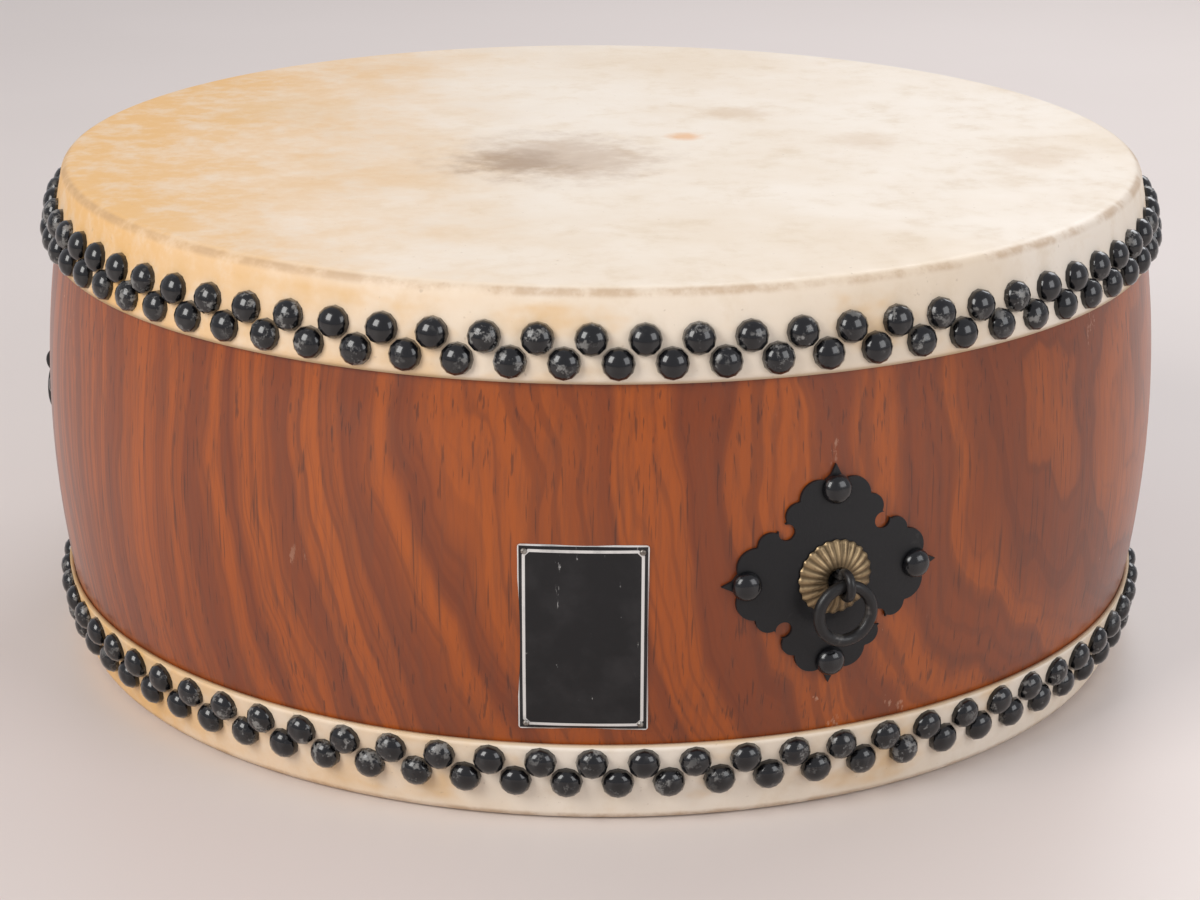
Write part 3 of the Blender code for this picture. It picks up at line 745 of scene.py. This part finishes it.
def tack_head():
    """A dome (R sin^p u, H cos^p u) on a flat base, as points and an array of faces for each kind.

    The power p is a little under 1 and makes the dome fuller than an ellipse."""
    rise = np.linspace(QUARTER, TACK_CROWN, TACK_RINGS)
    radius = TACK_RADIUS * np.sin(rise) ** TACK_FULLNESS
    height = TACK_HEIGHT * np.cos(rise) ** TACK_FULLNESS
    height[0] = -TACK_SINK
    around = at(radius[:, None], circle(TACK_SIDES) + QUARTER, height[:, None]).reshape(-1, 3)
    points = np.vstack([around, [[0, 0, TACK_HEIGHT], [0, 0, -TACK_SINK]]])
    crown = TACK_RINGS * TACK_SIDES
    cap = fan(crown - TACK_SIDES, TACK_SIDES, crown)
    base = fan(0, TACK_SIDES, crown + 1)[:, ::-1]
    return points, (grid_faces(TACK_RINGS, TACK_SIDES), cap, base)


def build_tacks(name, end, azimuth):
    """Two staggered rows of heads square to the skirt. end is 1 for the top and -1 for the bottom."""
    head, patterns = tack_head()
    points = []
    faces = []
    for row, level in enumerate(TACK_ROWS):
        tilt = float(barrel_tilt(level)) * end
        radius = barrel_radius(level) + (SKIN + GAP) / math.cos(tilt)
        azimuths = azimuth + (np.arange(TACKS_PER_ROW) + row / 2) * TURN / TACKS_PER_ROW
        places = at(radius, azimuths, level if end > 0 else HEIGHT - level)
        heads = np.einsum("pk,nkj->npj", head, seat_axes(azimuths, tilt)) + places[:, None, :]
        starts = (row * TACKS_PER_ROW + np.arange(TACKS_PER_ROW)) * len(head)
        points.append(heads.reshape(-1, 3))
        for pattern in patterns:
            faces += face_list((pattern[None] + starts[:, None, None]).reshape(-1, pattern.shape[1]))
    mesh_piece(name, np.vstack(points), faces, TACK_BLACK)


# Fittings
def plate_outline():
    """The scalloped edge from the top tip to the diagonal, mirrored, then turned to the four sides."""
    corner = np.vstack([PLATE_TIP, arc(*OUTER_LOBE, 12), arc(*INNER_LOBE, 12), arc(*NOTCH, 14)])
    quarter = np.vstack([corner[:-1], corner[::-1, ::-1][:-1]])
    outline = []
    for cosine, sine in ((1, 0), (0, -1), (-1, 0), (0, 1)):
        outline.append(quarter @ np.array([[cosine, sine], [-sine, cosine]]))
    return np.vstack(outline)


def washer_surface():
    """A low dome with a hole, its radius and height drawn in by cosine flutes, and its UV.

    Its height falls from the hole to the rim by the power WASHER_FALL of the share of the way, and the
    flutes deepen with that share."""
    share = np.linspace(0, 1, 12)
    radius = WASHER_HOLE + (WASHER_RIM - WASHER_HOLE) * share
    height = WASHER_RISE * (1 - share**WASHER_FALL) + WASHER_EDGE
    radius = np.append(radius, [WASHER_RIM, (WASHER_HOLE + WASHER_RIM) / 2, WASHER_HOLE])[:, None]
    height = np.append(height, [0.0, 0.0, 0.0])[:, None]
    fluting = np.append(share, [1.0, 0.0, 0.0])[:, None]
    outward = np.append(share, [1.0, 0.5, 0.0])[:, None]
    angle = circle(WASHER_SIDES)
    flute = FLUTE_DEPTH * (0.5 - 0.5 * np.cos(FLUTES * angle))[None]
    raised = height > FLUTE_DEPTH + WASHER_EDGE
    depth = flute * np.minimum(fluting, FLUTE_LIMIT) * raised
    points = at(radius - flute * fluting, angle, height - depth)
    uv = np.stack(np.broadcast_arrays(FLUTES * angle / TURN, outward), axis=2)
    faces = face_list(grid_faces(len(radius), WASHER_SIDES, wrap_rows=True)[:, ::-1])
    return points.reshape(-1, 3), faces, uv.reshape(-1, 2)


def eye_path():
    """The split pin's line in its seat's YZ plane.

    It runs down the wall's inside, out through the wall, round the eye, back in and on down."""
    leg = (EYE_STOCK + LEG_GAP) / 2
    neck = TURN / 2 - math.asin(leg / EYE_RADIUS)
    eye = arc((EYE_STANDOFF, 0.0), EYE_RADIUS, neck, 0.0, 20)
    reach = BELLY_WALL + GAP + EYE_STOCK / 2
    bend = arc((EYE_STOCK - reach, leg + EYE_STOCK), EYE_STOCK, -TURN / 2, -QUARTER, 8)
    half = np.vstack([[[bend[0, 0], leg + LEG_LENGTH]], bend, eye])
    out, up = np.vstack([half, half[-2::-1] * (1, -1)]).T
    return np.stack([0 * up, up, out], axis=1)


def bar_along(path, radius, sides):
    """A round bar along a path in the YZ plane: circles square to the path, with flat ends."""
    ahead = np.gradient(path, axis=0)
    ahead /= np.linalg.norm(ahead, axis=1)[:, None]
    sideways = np.array([1.0, 0.0, 0.0])
    upward = np.cross(ahead, sideways)[:, None, :]
    angle = circle(sides)[None, :, None]
    rim = np.cos(angle) * sideways + np.sin(angle) * upward
    points = (path[:, None, :] + radius * rim).reshape(-1, 3)
    start = np.arange(sides)
    end = start + (len(path) - 1) * sides
    return points, face_list(grid_faces(len(path), sides), start[None, ::-1], end[None])


def ring_surface():
    """A torus, ((R + r cos v) cos u, (R + r cos v) sin u, r sin v), hung from the eye of a level seat."""
    along = circle(RING_SEGMENTS)[:, None]
    around = circle(RING_SIDES)[None]
    radius = RING_RADIUS + RING_STOCK / 2 * np.cos(around)
    x = np.cos(along) * radius
    y = np.sin(along) * radius - RING_RADIUS - RING_DROP
    z = RING_STOCK / 2 * np.sin(around) + EYE_STANDOFF
    points = np.stack(np.broadcast_arrays(x, y, z), axis=2).reshape(-1, 3)
    return points, face_list(grid_faces(RING_SEGMENTS, RING_SIDES, wrap_rows=True)[:, ::-1])


def build_fittings():
    """The pieces of a ring fitting are made once and stand at each of the three azimuths."""
    outline = plate_outline()
    plate, plate_faces, plate_uv = bent_sheet(outline, FITTING_HEIGHT, PLATE_THICKNESS, PLATE_GRID)
    nail_points, nail_faces = nail(
        radius=0.0075, height=0.0060, sides=40, rings=14, shank=0.00175, length=0.020
    )
    rose, rose_faces, rose_uv = washer_surface()
    pin, pin_faces = bar_along(eye_path(), EYE_STOCK / 2, PIN_SIDES)
    ring, ring_faces = ring_surface()
    for side, azimuth in SIDES.items():
        mesh_piece(
            side + "_scalloped_plate",
            turned(plate, azimuth),
            plate_faces,
            PLATE_IRON,
            [side + "_ring_plate"],
            uv=plate_uv,
            smooth=False,
        )
        for place, (across, up) in NAIL_PLACES.items():
            across *= NAIL_DISTANCE
            up *= NAIL_DISTANCE
            where = beside(azimuth, FITTING_HEIGHT, across, up, PLATE_TOP)
            name = side + "_domed_nail_" + place
            node = side + "_plate_nail_" + place
            mesh_piece(name, placed(nail_points, where), nail_faces, NAIL_IRON, [node])
        on_plate = seat(azimuth, FITTING_HEIGHT, out=PLATE_TOP)
        level = seat(azimuth, FITTING_HEIGHT, level=True)
        name = side + "_fluted_rose"
        mesh_piece(name, placed(rose, on_plate), rose_faces, BRASS, [side + "_washer"], uv=rose_uv)
        mesh_piece(side + "_split_pin", placed(pin, level), pin_faces, RING_IRON, [side + "_eye_pin"])
        body = side + "_ring"
        mesh_piece(side + "_iron_ring", placed(ring, level), ring_faces, RING_IRON, [body], body=body)


def rectangle_outline(half_width, half_height, corner):
    """A rectangle with round corners, from the one at +X +Y and on round."""
    sides = []
    for index, (x, y) in enumerate(((1, 1), (-1, 1), (-1, -1), (1, -1))):
        centre = (x * (half_width - corner), y * (half_height - corner))
        sides.append(arc(centre, corner, index * QUARTER, (index + 1) * QUARTER, 6))
    return np.vstack(sides)


def build_name_plate():
    """The plain black plate left of the front fitting, and its four corner pins."""
    outline = rectangle_outline(*NAME_PLATE_HALF, NAME_PLATE_CORNER)
    points, faces, uv = bent_sheet(outline, NAME_PLATE_HEIGHT, NAME_PLATE_THICKNESS, NAME_PLATE_GRID)
    points = turned(points, NAME_PLATE_AZIMUTH)
    mesh_piece("black_plate", points, faces, ENAMEL, ["name_plate"], uv=uv, smooth=False)
    pin, pin_faces = nail(radius=0.0016, height=0.0012, sides=24, rings=8, shank=0.0007, length=0.010)
    half_width, half_height = NAME_PLATE_HALF
    out = GAP + NAME_PLATE_THICKNESS
    for place, (x, y) in PIN_PLACES.items():
        across = x * (half_width - PIN_INSET)
        up = y * (half_height - PIN_INSET)
        where = beside(NAME_PLATE_AZIMUTH, NAME_PLATE_HEIGHT, across, up, out)
        name = "corner_pin_" + place
        mesh_piece(name, placed(pin, where), pin_faces, STEEL, ["name_plate_pin_" + place])


build_log()
build_hides()
build_tacks("top_tacks", 1, TOP_TACK_AZIMUTH)
build_tacks("bottom_tacks", -1, BOTTOM_TACK_AZIMUTH)
build_fittings()
build_name_plate()


# Floor, lights, backdrop and camera
def build_floor():
    """A wide flat square with a faint cloud in its colour."""
    material, tree, shader, position = start_material("pale_floor", Roughness=0.45)
    cloud = noise(tree, position, scale=3, detail=3, roughness=0.5)
    drive(tree, shader, Base_Color=mix(tree, cloud, (0.66, 0.59, 0.55), (0.70, 0.63, 0.59)))
    reach = 6
    mesh = bpy.data.meshes.new("floor")
    corners = [(-reach, -reach, 0), (reach, -reach, 0), (reach, reach, 0), (-reach, reach, 0)]
    mesh.from_pydata(corners, [], [(0, 1, 2, 3)])
    mesh.materials.append(material)
    floor = bpy.data.objects.new("floor", mesh)
    bpy.context.scene.collection.objects.link(floor)


def area_light(name, azimuth, distance, height, size, power, colour):
    """A soft rectangular light aimed at the drum, its azimuth in degrees from the camera's."""
    target = Vector((0, 0, 0.15))
    light = bpy.data.lights.new(name, "AREA")
    light.shape = "RECTANGLE"
    light.size, light.size_y = size
    light.energy = power
    light.color = colour
    obj = bpy.data.objects.new(name, light)
    place = Vector(at(distance, CAMERA_AZIMUTH + math.radians(azimuth), height))
    aim = (target - place).to_track_quat("-Z", "Y").to_matrix().to_4x4()
    obj.matrix_world = Matrix.Translation(place) @ aim
    bpy.context.scene.collection.objects.link(obj)


def build_world():
    """A soft grey surrounding light, and a paler backdrop where the camera sees it."""
    world = bpy.data.worlds.new("studio")
    world.use_nodes = True
    tree = world.node_tree
    rays = tree.nodes.new("ShaderNodeLightPath").outputs
    seen = maths(tree, "ADD", rays["Is Camera Ray"], rays["Is Transmission Ray"], clamp=True)
    colour = mix(tree, seen, (0.50, 0.50, 0.53), (0.90, 0.90, 0.94))
    give(tree, tree.nodes["Background"].inputs["Color"], colour)
    bpy.context.scene.world = world


def build_camera():
    """The photograph's view: turned to the drum's axis, pitched down and rolled a little."""
    data = bpy.data.cameras.new("photo_camera")
    data.lens = CAMERA_LENS
    data.sensor_width = SENSOR_WIDTH
    camera = bpy.data.objects.new("photo_camera", data)
    camera.matrix_world = (
        Matrix.Translation(at(CAMERA_DISTANCE, CAMERA_AZIMUTH, CAMERA_HEIGHT))
        @ Matrix.Rotation(CAMERA_AZIMUTH, 4, "Z")
        @ Matrix.Rotation(QUARTER - CAMERA_PITCH, 4, "X")
        @ Matrix.Rotation(CAMERA_ROLL, 4, "Z")
    )
    bpy.context.scene.collection.objects.link(camera)
    bpy.context.scene.camera = camera


WARM_WHITE = (1.0, 0.985, 0.96)
COOL_WHITE = (0.97, 0.98, 1.0)
build_floor()
area_light(
    "window_light", -48, distance=2.4, height=1.7, size=(1.3, 1.6), power=54, colour=WARM_WHITE
)
area_light(
    "far_window_light", 150, distance=2.3, height=1.9, size=(2.2, 1.4), power=34, colour=COOL_WHITE
)
area_light(
    "fill_light", 52, distance=2.6, height=1.3, size=(1.6, 1.6), power=26, colour=COOL_WHITE
)
build_world()
bpy.context.scene.view_settings.view_transform = "Standard"
build_camera()
